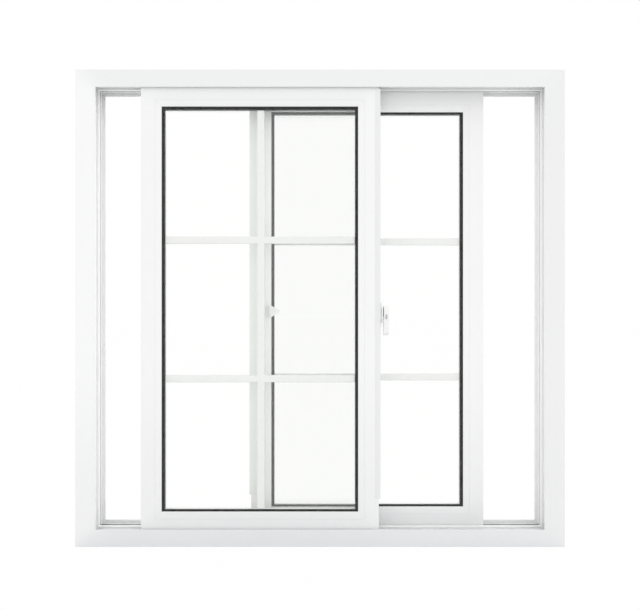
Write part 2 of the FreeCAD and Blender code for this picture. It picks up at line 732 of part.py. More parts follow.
def main():
    """Write one STEP file for each piece."""
    os.makedirs("parts", exist_ok=True)
    for name, shape in build().items():
        shape.exportStep(f"parts/{name}.step")


main()
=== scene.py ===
"""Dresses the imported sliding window: soft edges, finishes, seals, screws, light and camera.

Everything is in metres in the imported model's own frame: X along the sill to the
right as seen from the room, Y from the room to the outside, Z up.
"""
import json
import logging
import math
from dataclasses import dataclass, field
from enum import Enum
from typing import Optional, Protocol, Union

import bmesh
import bpy
from mathutils import Matrix, Vector


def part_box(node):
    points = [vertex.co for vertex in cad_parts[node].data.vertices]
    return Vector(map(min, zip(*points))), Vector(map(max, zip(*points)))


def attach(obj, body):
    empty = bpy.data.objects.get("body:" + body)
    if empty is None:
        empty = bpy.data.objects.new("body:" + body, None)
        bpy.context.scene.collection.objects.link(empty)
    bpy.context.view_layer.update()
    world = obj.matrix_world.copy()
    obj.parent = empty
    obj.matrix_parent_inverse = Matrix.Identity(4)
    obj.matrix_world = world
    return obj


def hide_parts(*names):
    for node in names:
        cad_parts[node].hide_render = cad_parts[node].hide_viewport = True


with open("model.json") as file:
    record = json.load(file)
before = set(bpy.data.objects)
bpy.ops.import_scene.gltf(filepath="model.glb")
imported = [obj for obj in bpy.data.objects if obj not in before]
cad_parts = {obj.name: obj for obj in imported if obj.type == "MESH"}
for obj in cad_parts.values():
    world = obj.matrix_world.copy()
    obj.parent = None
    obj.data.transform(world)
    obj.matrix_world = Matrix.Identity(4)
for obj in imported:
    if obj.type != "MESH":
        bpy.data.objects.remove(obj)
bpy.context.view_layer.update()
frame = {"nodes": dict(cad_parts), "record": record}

HALF_DEPTH = 0.046

log = logging.getLogger("window")

Shape = bmesh.types.BMesh
Colour = tuple[float, float, float]
Operand = Union["Wire", float]
Values = dict[Union[int, str], Union["Wire", float, tuple]]


# Shader maths

class Wire:
    """A value in a material, with Python's own operators for its Math nodes."""

    def __init__(self, recipe: "Recipe", socket: bpy.types.NodeSocket) -> None:
        """Hold one output socket of a recipe."""
        self.recipe = recipe
        self.socket = socket

    def _maths(self, operation: str, *values: Operand) -> "Wire":
        """Return a Math node's result for up to three values."""
        return self.recipe.node("ShaderNodeMath", {"operation": operation}, dict(enumerate(values)))

    def __add__(self, other: Operand) -> "Wire":
        """Return self + other."""
        return self._maths("ADD", self, other)

    def __radd__(self, other: Operand) -> "Wire":
        """Return other + self."""
        return self._maths("ADD", other, self)

    def __sub__(self, other: Operand) -> "Wire":
        """Return self - other."""
        return self._maths("SUBTRACT", self, other)

    def __rsub__(self, other: Operand) -> "Wire":
        """Return other - self."""
        return self._maths("SUBTRACT", other, self)

    def __mul__(self, other: Operand) -> "Wire":
        """Return self * other."""
        return self._maths("MULTIPLY", self, other)

    def __rmul__(self, other: Operand) -> "Wire":
        """Return other * self."""
        return self._maths("MULTIPLY", other, self)

    def __abs__(self) -> "Wire":
        """Return the size of self without its sign."""
        return self._maths("ABSOLUTE", self)

    def wrapped(self, period: float) -> "Wire":
        """Return self folded into 0 to period, for a pattern that repeats."""
        return self._maths("WRAP", self, period, 0.0)

    def least(self, other: Operand) -> "Wire":
        """Return the smaller of self and other."""
        return self._maths("MINIMUM", self, other)

    def most(self, other: Operand) -> "Wire":
        """Return the larger of self and other."""
        return self._maths("MAXIMUM", self, other)

    def ramp(self, low: float, high: float) -> "Wire":
        """Rise smoothly from 0 to 1, or fall where low is the larger of the two ends.

        Args:
            low: The value of self at which the result is 0.
            high: The value of self at which the result is 1.

        Returns:
            The result, which stays 0 or 1 past the ends.
        """
        first, last = (0.0, 1.0) if low < high else (1.0, 0.0)
        ends: Values = {"Value": self, "From Min": min(low, high), "From Max": max(low, high)}
        ends.update({"To Min": first, "To Max": last})
        return self.recipe.node("ShaderNodeMapRange", {"interpolation_type": "SMOOTHSTEP"}, ends)


class Recipe:
    """Builds the nodes of one material or of the world."""

    def __init__(self, owner: Union[bpy.types.Material, bpy.types.World]) -> None:
        """Start with an empty node tree.

        Args:
            owner: The material or world that the nodes belong to.
        """
        self.owner = owner
        owner.use_nodes = True
        self.tree = owner.node_tree
        self.tree.nodes.clear()

    def add(self, kind: str, settings: dict[str, object], values: Values) -> bpy.types.Node:
        """Add a node of any kind.

        Args:
            kind: The node's type.
            settings: Its own settings, set before its sockets.
            values: What goes to each input, by name or number: a wire, a number or a tuple.

        Returns:
            The new node.
        """
        made = self.tree.nodes.new(kind)
        for key, value in settings.items():
            setattr(made, key, value)
        for key, value in values.items():
            if isinstance(value, Wire):
                self.tree.links.new(value.socket, made.inputs[key])
            else:
                made.inputs[key].default_value = value
        return made

    def node(
        self, kind: str, settings: dict[str, object], values: Values, out: Union[int, str] = 0
    ) -> Wire:
        """Add a node and return the wire from one of its outputs."""
        return Wire(self, self.add(kind, settings, values).outputs[out])

    def split(self, vector: Wire) -> tuple[Wire, ...]:
        """Return a vector's X, Y and Z."""
        parts = self.add("ShaderNodeSeparateXYZ", {}, {0: vector}).outputs
        return tuple(Wire(self, part) for part in parts)

    def place(self) -> Wire:
        """Return the Object coordinates."""
        return self.node("ShaderNodeTexCoord", {}, {}, "Object")

    def upward(self) -> Wire:
        """Return how far the surface faces up, from -1 to 1."""
        return self.split(self.node("ShaderNodeNewGeometry", {}, {}, "Normal"))[2]

    def stretched(self, scale: tuple[float, float, float]) -> Wire:
        """Return the Object coordinates scaled on each axis."""
        return self.node("ShaderNodeMapping", {}, {"Vector": self.place(), "Scale": scale})

    def noise(self, scale: float, detail: float, where: Optional[Wire] = None) -> Wire:
        """Return a noise value from 0 to 1 at a scale per metre."""
        values: Values = {"Vector": where or self.place(), "Scale": scale, "Detail": detail}
        return self.node("ShaderNodeTexNoise", {}, values)

    def blend(
        self, factor: Operand, first: Union[Wire, Colour], second: Union[Wire, Colour]
    ) -> Wire:
        """Mix two colours.

        Args:
            factor: The share of the second colour.
            first: A wire or a plain colour.
            second: A wire or a plain colour.

        Returns:
            The mixed colour.
        """
        start, end = (mix if isinstance(mix, Wire) else (*mix, 1.0) for mix in (first, second))
        return self.node("ShaderNodeMix", {"data_type": "RGBA"}, {0: factor, 6: start, 7: end}, 2)

    def bump(
        self, height: Wire, distance: float, strength: float, under: Optional[Wire] = None
    ) -> Wire:
        """Turn a height pattern into a normal.

        Args:
            height: The pattern.
            distance: What a height of 1 stands for, in metres.
            strength: The share of the effect that is kept.
            under: The normal that it is laid over, if it isn't the surface's own.

        Returns:
            The normal.
        """
        values: Values = {"Height": height, "Distance": distance, "Strength": strength}
        if under:
            values["Normal"] = under
        return self.node("ShaderNodeBump", {}, values)

    def rays(self, *kinds: str) -> Wire:
        """Tell some kinds of rays from the others.

        Args:
            kinds: The outputs of the Light Path node that count.

        Returns:
            1 for a ray of any of those kinds, otherwise 0.
        """
        outputs = self.add("ShaderNodeLightPath", {}, {}).outputs
        found = Wire(self, outputs[kinds[0]])
        for kind in kinds[1:]:
            found = found.most(Wire(self, outputs[kind]))
        return found

    def seen_directly(self) -> Wire:
        """Return 1 where the camera sees the surface, also in a reflection or through glass."""
        straight = self.rays("Is Camera Ray", "Is Glossy Ray", "Is Transmission Ray")
        return straight * (1.0 - self.rays("Diffuse Depth").least(1.0))

    def finish(self, surface: Wire) -> Union[bpy.types.Material, bpy.types.World]:
        """Send a shader to the output.

        Args:
            surface: The shader.

        Returns:
            The material or world that the nodes belong to.
        """
        kind = "World" if isinstance(self.owner, bpy.types.World) else "Material"
        self.add(f"ShaderNodeOutput{kind}", {}, {"Surface": surface})
        return self.owner

    def coated(self, values: Values) -> bpy.types.Material:
        """Finish a material with one Principled shader of those values."""
        return self.finish(self.node("ShaderNodeBsdfPrincipled", {}, values))


# Finishes

class Finish(Protocol):
    """What each finish offers: a name, and a material made from its values."""

    @property
    def name(self) -> str:
        """Return the material's name."""

    def material(self) -> bpy.types.Material:
        """Return the finish as a material."""


class Grain(Enum):
    """The way fine lines run, as coordinate scales that stretch a noise along it."""

    ACROSS = (0.002, 1.0, 1.0)
    UPRIGHT = (1.0, 1.0, 0.002)
    NONE = (1.0, 1.0, 1.0)


@dataclass(frozen=True)
class WeldedRing:
    """The outline of a ring whose corners are welded at 45 degrees."""

    centre_x: float
    centre_z: float
    half_width: float
    half_height: float

    def margins(self, recipe: Recipe) -> tuple[Wire, Wire]:
        """Return how far a point lies inside the nearest side and inside the nearest end."""
        x, _, z = recipe.split(recipe.place())
        return self.half_width - abs(x - self.centre_x), self.half_height - abs(z - self.centre_z)

    def lean(self, recipe: Recipe) -> Wire:
        """Return how far a point lies on the uprights' side of the nearest corner's diagonal."""
        from_side, from_end = self.margins(recipe)
        return (from_end - from_side) * math.sqrt(0.5)

    def inset(self, recipe: Recipe) -> Wire:
        """Return how far a point lies inside the outline."""
        from_side, from_end = self.margins(recipe)
        return from_side.least(from_end)


@dataclass(frozen=True)
class RingPaintedLightTones:
    """The white of each side of a ring, with painted light and shade by how the light falls on it.
    """

    left: Colour
    right: Colour
    top: Colour
    bottom: Colour

    def shade(self, recipe: Recipe, ring: WeldedRing, reach: float) -> Wire:
        """Pass from each side's painted light and shade to the next one's round the corners.

        Args:
            recipe: The material's recipe.
            ring: The ring whose sides are meant.
            reach: How far from a corner's diagonal the change starts.

        Returns:
            The colour at a point.
        """
        x, _, z = recipe.split(recipe.place())
        far = ring.half_width / 2
        uprights = recipe.blend((x - ring.centre_x).ramp(-far, far), self.left, self.right)
        rails = recipe.blend((z - ring.centre_z).ramp(-far, far), self.bottom, self.top)
        return recipe.blend(ring.lean(recipe).ramp(-reach, reach), rails, uprights)


@dataclass(frozen=True)
class ExtrudedPlastic:
    """White window plastic: fine draw lines, a slight mottle, dust on ledges, cleaned welds.

    Each side's white holds painted light and shade, and it is painted darker towards the bottom,
    as shade. A profile with channels also has painted light for all that lies behind its
    room-side face, which is at face_y, with painted shade in the head's channel. Its back and
    its four outer sides have the dull outer white, which is painted shade.
    """

    name: str
    tones: RingPaintedLightTones
    ring: WeldedRing
    welded: bool = True
    roughness: float = 0.32
    corner_reach: float = 0.035
    # The dust colour; it also paints shade towards the bottom, and the weld seams.
    dust_and_painted_light_colour: Colour = (0.79, 0.8, 0.795)
    # The dull outer white: painted shade on the back and the four outer sides.
    outer: Colour = (0.72, 0.73, 0.725)
    # Painted light in the channels, with painted shade in the head's channel.
    channel_painted_light: Optional[RingPaintedLightTones] = None
    face_y: float = 0.0
    face_skin: tuple[float, float] = (0.0005, 0.0025)
    side_skin: float = 0.004
    mitre_width: float = 0.0001
    line_scale: float = 900.0
    mottle_scale: float = 1400.0
    relief_height: float = 0.000004
    # Painted shade towards the bottom: the heights where it is none and full, and its share.
    painted_shade_heights: tuple[float, float] = (0.5, 0.1)
    painted_shade_share: float = 0.28
    seam_edge: tuple[float, float] = (0.0006, 0.0001)
    seam_depth: float = 0.00012

    def in_channel(self, recipe: Recipe, shade: Wire, behind: Wire) -> Wire:
        """Paint light and shade on all that lies behind the room-side face.

        Args:
            recipe: The material's recipe.
            shade: The colour of the room-side face.
            behind: 1 behind that face, 0 on it.

        Returns:
            The colour with the channels' painted light and shade, and the painted shade of the back
            and outer sides.
        """
        _, y, _ = recipe.split(recipe.place())
        near, deep = self.face_skin
        inside = self.ring.inset(recipe).ramp(0.0, self.side_skin)
        within = inside * y.ramp(-self.face_y - near, -self.face_y - deep)
        channel = self.channel_painted_light.shade(recipe, self.ring, self.corner_reach)
        # Painted light in the channels; painted shade, the dull outer white, on the back and outer
        # sides.
        return recipe.blend(behind, shade, recipe.blend(within, self.outer, channel))

    def material(self) -> bpy.types.Material:
        """Mix the sides' painted light and shade, dust, draw lines, mottle and weld seams.

        Returns:
            The material.
        """
        recipe = Recipe(bpy.data.materials.new(self.name))
        lean = self.ring.lean(recipe)
        across = recipe.noise(self.line_scale, 3.0, recipe.stretched(Grain.ACROSS.value))
        upright = recipe.noise(self.line_scale, 3.0, recipe.stretched(Grain.UPRIGHT.value))
        lines = across + (upright - across) * lean.ramp(-self.mitre_width, self.mitre_width)
        broad = recipe.noise(scale=4.0, detail=3.0)
        mottle = recipe.noise(self.mottle_scale, detail=1.0)
        patches = recipe.noise(scale=38.0, detail=4.0)
        # Real dust: on upward ledges and in broad patches.
        ledges = recipe.upward().ramp(0.55, 0.95)
        dust_and_painted_light = ledges * patches.ramp(0.35, 0.7) * 0.14 + broad.ramp(0.3, 0.85) * 0.06
        _, y, height = recipe.split(recipe.place())
        shade = self.tones.shade(recipe, self.ring, self.corner_reach)
        # Painted shade: the white darkens towards the bottom, where less light falls.
        lower_painted_shade = height.ramp(*self.painted_shade_heights) * self.painted_shade_share
        shade = recipe.blend(lower_painted_shade, shade, self.dust_and_painted_light_colour)
        relief = lines
        if self.channel_painted_light:
            near, deep = self.face_skin
            behind = y.ramp(self.face_y + near, self.face_y + deep)
            shade = self.in_channel(recipe, shade, behind)
            relief = lines * (1.0 - behind * 0.9)
        shade = recipe.blend(dust_and_painted_light, shade, self.dust_and_painted_light_colour)
        normal = recipe.bump(relief, self.relief_height, strength=0.3)
        normal = recipe.bump(mottle, self.relief_height, strength=0.25, under=normal)
        if self.welded:
            seam = abs(lean).ramp(*self.seam_edge)
            shade = recipe.blend(seam * 0.08, shade, self.dust_and_painted_light_colour)
            normal = recipe.bump(seam * -1.0, self.seam_depth, strength=0.5, under=normal)
        rough = self.roughness + (lines - 0.5) * 0.1 + (broad - 0.5) * 0.08
        return recipe.coated(
            {"Base Color": shade, "Roughness": rough, "IOR": 1.46, "Normal": normal}
        )


@dataclass(frozen=True)
class Rubber:
    """Black seal rubber with a dull bloom and fine grit."""

    name: str = "seal_rubber"
    colour: Colour = (0.016, 0.017, 0.018)
    bloom: Colour = (0.03, 0.032, 0.033)

    def material(self) -> bpy.types.Material:
        """Cloud the black with bloom and roughen it.

        Returns:
            The material.
        """
        recipe = Recipe(bpy.data.materials.new(self.name))
        cloud = recipe.noise(scale=60.0, detail=4.0)
        grit = recipe.noise(scale=2600.0, detail=2.0)
        shade = recipe.blend(cloud.ramp(0.4, 0.8) * 0.7, self.colour, self.bloom)
        rough = 0.42 + cloud * 0.2
        normal = recipe.bump(grit, distance=0.00002, strength=0.4)
        return recipe.coated({"Base Color": shade, "Roughness": rough, "Normal": normal})


@dataclass(frozen=True)
class SpacerBar:
    """Dark metal edge spacer with rows of breathing holes and painted light on its upper faces."""

    name: str = "spacer_bar"
    colour: Colour = (0.035, 0.037, 0.038)
    rubbed: Colour = (0.06, 0.063, 0.066)
    pierced: Colour = (0.004, 0.004, 0.004)
    # The paler colour of the painted light on the upper faces.
    dust_and_painted_light_colour: Colour = (0.86, 0.86, 0.85)
    pitch: float = 0.006
    hole_rim: tuple[float, float] = (0.0009, 0.0005)

    def material(self) -> bpy.types.Material:
        """Pierce the dark bar and paint light on its upper faces.

        Returns:
            The material.
        """
        recipe = Recipe(bpy.data.materials.new(self.name))
        x, _, z = recipe.split(recipe.place())
        cloud = recipe.noise(scale=50.0, detail=3.0)
        along = (x + z).wrapped(self.pitch)
        hole = abs(along - self.pitch / 2).ramp(*self.hole_rim)
        worn = recipe.blend(cloud.ramp(0.35, 0.75), self.colour, self.rubbed)
        shade = recipe.blend(hole * 0.6, worn, self.pierced)
        # Painted light: the upper faces are paler, duller and less metallic, as if lit from above.
        dust_and_painted_light = recipe.upward().ramp(0.6, 0.95)
        shade = recipe.blend(dust_and_painted_light * 0.85, shade, self.dust_and_painted_light_colour)
        normal = recipe.bump(hole * -1.0, distance=0.0001, strength=0.4)
        rough = 0.22 + cloud * 0.14 + dust_and_painted_light * 0.3
        metal = 0.55 - dust_and_painted_light * 0.5
        return recipe.coated(
            {"Base Color": shade, "Roughness": rough, "Metallic": metal, "Normal": normal}
        )


@dataclass(frozen=True)
class FloatGlass:
    """Clear float glass with a trace of green, which lets the room's light straight through."""

    name: str = "float_glass"
    tint: Colour = (0.997, 0.9998, 0.996)

    def material(self) -> bpy.types.Material:
        """Make glass for what is seen and clear film for the light that falls through.

        Returns:
            The material.
        """
        recipe = Recipe(bpy.data.materials.new(self.name))
        film = recipe.noise(scale=9.0, detail=4.0)
        smear = recipe.noise(scale=55.0, detail=5.0)
        tint = (*self.tint, 1.0)
        glass = recipe.node("ShaderNodeBsdfPrincipled", {}, {
            "Base Color": tint,
            "Roughness": (film * smear).ramp(0.3, 0.6) * 0.004,
            "IOR": 1.45,
            "Transmission Weight": 1.0,
        })
        light = recipe.rays("Is Shadow Ray", "Is Diffuse Ray")
        clear = recipe.node("ShaderNodeBsdfTransparent", {}, {"Color": tint})
        return recipe.finish(recipe.node("ShaderNodeMixShader", {}, {0: light, 1: glass, 2: clear}))


@dataclass(frozen=True)
class PaintedMetal:
    """Paint over metal, with a faint orange peel and duller handling marks."""

    name: str
    colour: Colour
    worn: Colour
    roughness: float = 0.3
    peel_scale: float = 900.0

    def material(self) -> bpy.types.Material:
        """Mark the paint and give it its peel.

        Returns:
            The material.
        """
        recipe = Recipe(bpy.data.materials.new(self.name))
        skin = recipe.noise(self.peel_scale, detail=2.0)
        marks = recipe.noise(scale=70.0, detail=5.0)
        shade = recipe.blend(marks.ramp(0.45, 0.75) * 0.6, self.colour, self.worn)
        rough = self.roughness + marks * 0.16
        normal = recipe.bump(skin, distance=0.00006, strength=0.4)
        return recipe.coated({"Base Color": shade, "Roughness": rough, "Normal": normal})


@dataclass(frozen=True)
class BareMetal:
    """Bare or plated metal, drawn or rolled along one way."""

    name: str
    colour: Colour
    dull: Colour
    grain: Grain
    roughness: float = 0.28

    def material(self) -> bpy.types.Material:
        """Draw the metal along its grain and dull it in clouds.

        Returns:
            The material.
        """
        recipe = Recipe(bpy.data.materials.new(self.name))
        lines = recipe.noise(1500.0, 3.0, recipe.stretched(self.grain.value))
        cloud = recipe.noise(scale=45.0, detail=4.0)
        shade = recipe.blend(cloud.ramp(0.35, 0.75), self.colour, self.dull)
        rough = self.roughness + lines * 0.15 + cloud * 0.08
        normal = recipe.bump(lines, distance=0.00004, strength=0.4)
        return recipe.coated(
            {"Base Color": shade, "Roughness": rough, "Metallic": 1.0, "Normal": normal}
        )


@dataclass(frozen=True)
class MouldedNylon:
    """Moulded nylon or hard packer plastic with a fine spark texture."""

    name: str
    colour: Colour
    scuffed: Colour

    def material(self) -> bpy.types.Material:
        """Scuff the plastic and give it its texture.

        Returns:
            The material.
        """
        recipe = Recipe(bpy.data.materials.new(self.name))
        spark = recipe.noise(scale=3200.0, detail=2.0)
        scuff = recipe.noise(scale=120.0, detail=5.0)
        shade = recipe.blend(scuff.ramp(0.5, 0.8), self.colour, self.scuffed)
        rough = 0.4 + scuff * 0.2
        normal = recipe.bump(spark, distance=0.00005, strength=0.5)
        return recipe.coated({"Base Color": shade, "Roughness": rough, "Normal": normal})


@dataclass(frozen=True)
class WovenPile:
    """Grey brush pile: dense fibres in tufts."""

    name: str = "woven_pile"
    colour: Colour = (0.42, 0.43, 0.42)
    # Painted shade between the fibres and tufts.
    deep: Colour = (0.2, 0.21, 0.2)
    fibre_stretch: tuple[float, float, float] = (1.0, 0.12, 1.0)

    def material(self) -> bpy.types.Material:
        """Paint shade into the pile between its fibres and tufts.

        Returns:
            The material.
        """
        recipe = Recipe(bpy.data.materials.new(self.name))
        fibres = recipe.noise(4200.0, 2.0, recipe.stretched(self.fibre_stretch))
        tufts = recipe.noise(scale=700.0, detail=2.0)
        depth = fibres.ramp(0.3, 0.7) * 0.7 + tufts.ramp(0.3, 0.7) * 0.3
        shade = recipe.blend(depth, self.deep, self.colour)
        normal = recipe.bump(depth, distance=0.0003, strength=0.8)
        return recipe.coated(
            {"Base Color": shade, "Roughness": 0.9, "Sheen Weight": 0.3, "Normal": normal}
        )


@dataclass(frozen=True)
class StudioWhite:
    """Seamless white: white to the camera and in reflections, with the object's faint shadow."""

    name: str = "studio_white"
    tone: Colour = (0.81, 0.81, 0.81)
    share: float = 0.985

    def material(self) -> bpy.types.Material:
        """Glow white where the floor is seen, and stay matt for other light.

        Returns:
            The material.
        """
        recipe = Recipe(bpy.data.materials.new(self.name))
        matt = recipe.node("ShaderNodeBsdfDiffuse", {}, {"Color": (*self.tone, 1.0)})
        glow = recipe.node("ShaderNodeEmission", {}, {"Strength": 1.0})
        seen = recipe.seen_directly() * self.share
        return recipe.finish(recipe.node("ShaderNodeMixShader", {}, {0: seen, 1: matt, 2: glow}))


class FinishBook:
    """Keeps one material for each finish, made when it is first asked for."""

    def __init__(self) -> None:
        """Start with no materials."""
        self.made: dict[str, bpy.types.Material] = {}

    def get(self, finish: Finish) -> bpy.types.Material:
        """Look a finish up by its name, and make its material if it is new.

        Args:
            finish: The finish.

        Returns:
            Its material.
        """
        if finish.name not in self.made:
            self.made[finish.name] = finish.material()
        return self.made[finish.name]


BOOK = FinishBook()


# Mesh work

def put_in_scene(name: str, data: bpy.types.ID) -> bpy.types.Object:
    """Make an object of a mesh, lamp or camera.

    Args:
        name: The object's name.
        data: What it shows.

    Returns:
        The object, which the scene holds.
    """
    made = bpy.data.objects.new(name, data)
    bpy.context.scene.collection.objects.link(made)
    return made


@dataclass(frozen=True)
class Span:
    """A box in metres, between two values on each axis."""

    x: tuple[float, float]
    y: tuple[float, float]
    z: tuple[float, float]

    def middle(self) -> Vector:
        """Return the box's centre."""
        return Vector((sum(self.x) / 2, sum(self.y) / 2, sum(self.z) / 2))

    def size(self) -> Vector:
        """Return the box's lengths."""
        return Vector((self.x[1] - self.x[0], self.y[1] - self.y[0], self.z[1] - self.z[0]))


class Workbench:
    """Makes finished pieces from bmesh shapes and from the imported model's nodes."""

    sharp: float = math.radians(30.0)
    nearly_flat: float = math.radians(0.5)
    same_place: float = 1e-6
    same_slope: float = 0.01

    def piece(
        self, name: str, shape: Shape, finish: Finish, body: str
    ) -> bpy.types.Object:
        """Turn a shape into a finished piece.

        Args:
            name: The piece's name.
            shape: Its bmesh, which is used up.
            finish: The finish it wears.
            body: The body that it moves with.

        Returns:
            The new object.
        """
        mesh = bpy.data.meshes.new(name)
        shape.to_mesh(mesh)
        shape.free()
        mesh.materials.append(BOOK.get(finish))
        mesh.shade_smooth()
        mesh.set_sharp_from_angle(angle=self.sharp)
        made = put_in_scene(name, mesh)
        made.modifiers.new("Weighted normals", "WEIGHTED_NORMAL").keep_sharp = True
        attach(made, body)
        log.info("%s: %d faces", name, len(mesh.polygons))
        return made

    def merged_copy(self, node: str) -> Shape:
        """Join a node's triangles to a closed shape with whole flat faces.

        Args:
            node: The node to copy.

        Returns:
            The new shape.
        """
        shape = bmesh.new()
        shape.from_mesh(frame["nodes"][node].data)
        bmesh.ops.remove_doubles(shape, verts=shape.verts, dist=self.same_place)
        bmesh.ops.dissolve_limit(
            shape, angle_limit=self.nearly_flat, verts=shape.verts, edges=shape.edges
        )
        return shape

    def soften(self, shape: Shape, radius: float, spare_mitres: bool = False) -> None:
        """Round a shape's sharp edges.

        Args:
            shape: The shape to change.
            radius: How far the rounding reaches from each edge.
            spare_mitres: Whether edges of 45 degree end faces stay sharp, as in a weld.
        """
        edges = [
            edge
            for edge in shape.edges
            if len(edge.link_faces) == 2
            and edge.calc_face_angle(0.0) > self.sharp
            and not (spare_mitres and any(self.is_mitre(face) for face in edge.link_faces))
        ]
        bmesh.ops.bevel(
            shape,
            geom=edges,
            offset=radius,
            offset_type="OFFSET",
            segments=2,
            profile=0.5,
            affect="EDGES",
            material=-1,
            clamp_overlap=True,
        )

    def is_mitre(self, face: bmesh.types.BMFace) -> bool:
        """Return whether a face leans at 45 degrees in the window's plane."""
        lean = abs(face.normal.x) - abs(face.normal.z)
        return abs(face.normal.y) < self.same_slope and abs(lean) < self.same_slope

    def softened(
        self, node: str, finish: Finish, radius: float, spare_mitres: bool = False
    ) -> None:
        """Replace a node by a copy with rounded edges.

        Args:
            node: The node to replace.
            finish: The finish the copy wears.
            radius: The edges' rounding.
            spare_mitres: Whether welded mitre faces stay sharp.
        """
        shape = self.merged_copy(node)
        self.soften(shape, radius, spare_mitres)
        made = self.piece(f"soft_{node}", shape, finish, BODY_OF[node])
        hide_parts(node)

    def paint(self, node: str, finish: Finish) -> None:
        """Give a node that stays in the picture its finish.

        Args:
            node: The node to paint.
            finish: The finish it wears.
        """
        for slot in frame["nodes"][node].material_slots:
            slot.material = BOOK.get(finish)
        log.info("%s: painted", node)

    def block(self, shape: Shape, span: Span) -> None:
        """Add a box to a shape.

        Args:
            shape: The shape to add to.
            span: Where the box goes.
        """
        corners = bmesh.ops.create_cube(shape, size=1.0)["verts"]
        bmesh.ops.scale(shape, vec=span.size(), verts=corners)
        bmesh.ops.translate(shape, vec=span.middle(), verts=corners)

    def ring(
        self,
        shape: Shape,
        ring: WeldedRing,
        inset: float,
        width: float,
        y: tuple[float, float],
    ) -> None:
        """Add a mitred rectangular ring to a shape.

        Args:
            shape: The shape to add to.
            ring: The outline that the ring is measured from.
            inset: How far inside that outline the ring starts.
            width: The ring's width in the window's plane.
            y: Its front and back.
        """
        face = bmesh.ops.create_grid(shape, x_segments=1, y_segments=1, size=0.5)["verts"]
        size = Vector((2 * (ring.half_width - inset), 2 * (ring.half_height - inset), 1.0))
        bmesh.ops.scale(shape, vec=size, verts=face)
        bmesh.ops.rotate(shape, matrix=Matrix.Rotation(math.pi / 2, 3, "X"), verts=face)
        bmesh.ops.translate(shape, vec=Vector((ring.centre_x, y[0], ring.centre_z)), verts=face)
        middle = face[0].link_faces[0]
        band = bmesh.ops.inset_region(
            shape, faces=[middle], thickness=width, use_boundary=True
        )["faces"]
        bmesh.ops.delete(shape, geom=[middle], context="FACES")
        grown = bmesh.ops.extrude_face_region(shape, geom=band)["geom"]
        moved = [part for part in grown if isinstance(part, bmesh.types.BMVert)]
        bmesh.ops.translate(shape, vec=Vector((0.0, y[1] - y[0], 0.0)), verts=moved)
        bmesh.ops.recalc_face_normals(shape, faces=shape.faces)


BENCH = Workbench()


@dataclass(frozen=True)
class CollarAboutX:
    """A ring of rectangular section about an axis along X."""

    middle: Vector
    bore: float
    rim: float
    x: tuple[float, float]

    def add(self, shape: Shape) -> None:
        """Spin the ring's section round its axis.

        Args:
            shape: The shape to add to.
        """
        low, high = self.x
        section = ((low, self.bore), (high, self.bore), (high, self.rim), (low, self.rim))
        corners = [
            shape.verts.new((x, self.middle.y, self.middle.z + radius)) for x, radius in section
        ]
        sides = [shape.edges.new((corners[i], corners[i - 1])) for i in range(len(corners))]
        bmesh.ops.spin(
            shape,
            geom=corners + sides,
            cent=self.middle,
            axis=(1.0, 0.0, 0.0),
            angle=2 * math.pi,
            steps=48,
            use_merge=True,
        )
        bmesh.ops.recalc_face_normals(shape, faces=shape.faces)


@dataclass(frozen=True)
class CrossScrew:
    """A pan-headed screw with a cross recess, seen from its head."""

    radius: float = 0.0029
    height: float = 0.0016
    arm: float = 0.0017
    slot: float = 0.0004
    depth: float = 0.0009
    rounding: float = 0.55
    top: float = 0.95

    def add(self, shape: Shape, at: Vector, out: Vector) -> None:
        """Add the head to a shape.

        Args:
            shape: The shape to add to.
            at: The middle of the head's seat.
            out: The direction that the head faces.
        """
        head = bmesh.new()
        wide, high = self.radius, self.height
        bmesh.ops.create_cone(
            head, cap_ends=True, segments=28, radius1=wide, radius2=wide, depth=high
        )
        bmesh.ops.translate(head, vec=Vector((0.0, 0.0, high / 2)), verts=head.verts)
        rim = [
            edge for edge in head.edges if all(vert.co.z > high * self.top for vert in edge.verts)
        ]
        bmesh.ops.bevel(
            head,
            geom=rim,
            offset=high * self.rounding,
            segments=4,
            profile=0.5,
            affect="EDGES",
            material=-1,
        )
        for axis in (Vector((1.0, 0.0, 0.0)), Vector((0.0, 1.0, 0.0))):
            for reach in (-self.arm, -self.slot, self.slot, self.arm):
                top = [face for face in head.faces if self.on_top(face)]
                geometry = list({part for face in top for part in (face, *face.edges, *face.verts)})
                bmesh.ops.bisect_plane(head, geom=geometry, plane_co=axis * reach, plane_no=axis)
        cross = [face for face in head.faces if self.in_cross(face)]
        sunk = bmesh.ops.extrude_face_region(head, geom=cross)["geom"]
        moved = [part for part in sunk if isinstance(part, bmesh.types.BMVert)]
        bmesh.ops.translate(head, vec=Vector((0.0, 0.0, -self.depth)), verts=moved)
        bmesh.ops.delete(head, geom=cross, context="FACES_ONLY")
        turn = out.to_track_quat("Z", "Y").to_matrix().to_4x4()
        bmesh.ops.transform(head, matrix=Matrix.Translation(at) @ turn, verts=head.verts)
        mesh = bpy.data.meshes.new("screw head")
        head.to_mesh(mesh)
        head.free()
        shape.from_mesh(mesh)
        bpy.data.meshes.remove(mesh)

    def on_top(self, face: bmesh.types.BMFace) -> bool:
        """Return whether a face belongs to the head's flat top."""
        return face.calc_center_median().z > self.height * self.top

    def in_cross(self, face: bmesh.types.BMFace) -> bool:
        """Tell the faces of the cross recess from the others.

        Args:
            face: A face of the head.

        Returns:
            Whether it lies on the top, within the cross.
        """
        middle = face.calc_center_median()
        across, along = sorted((abs(middle.x), abs(middle.y)))
        return self.on_top(face) and across < self.slot and along < self.arm


# Finishes of this window

FRAME_RING = WeldedRing(centre_x=0.0, centre_z=0.585, half_width=0.593, half_height=0.585)
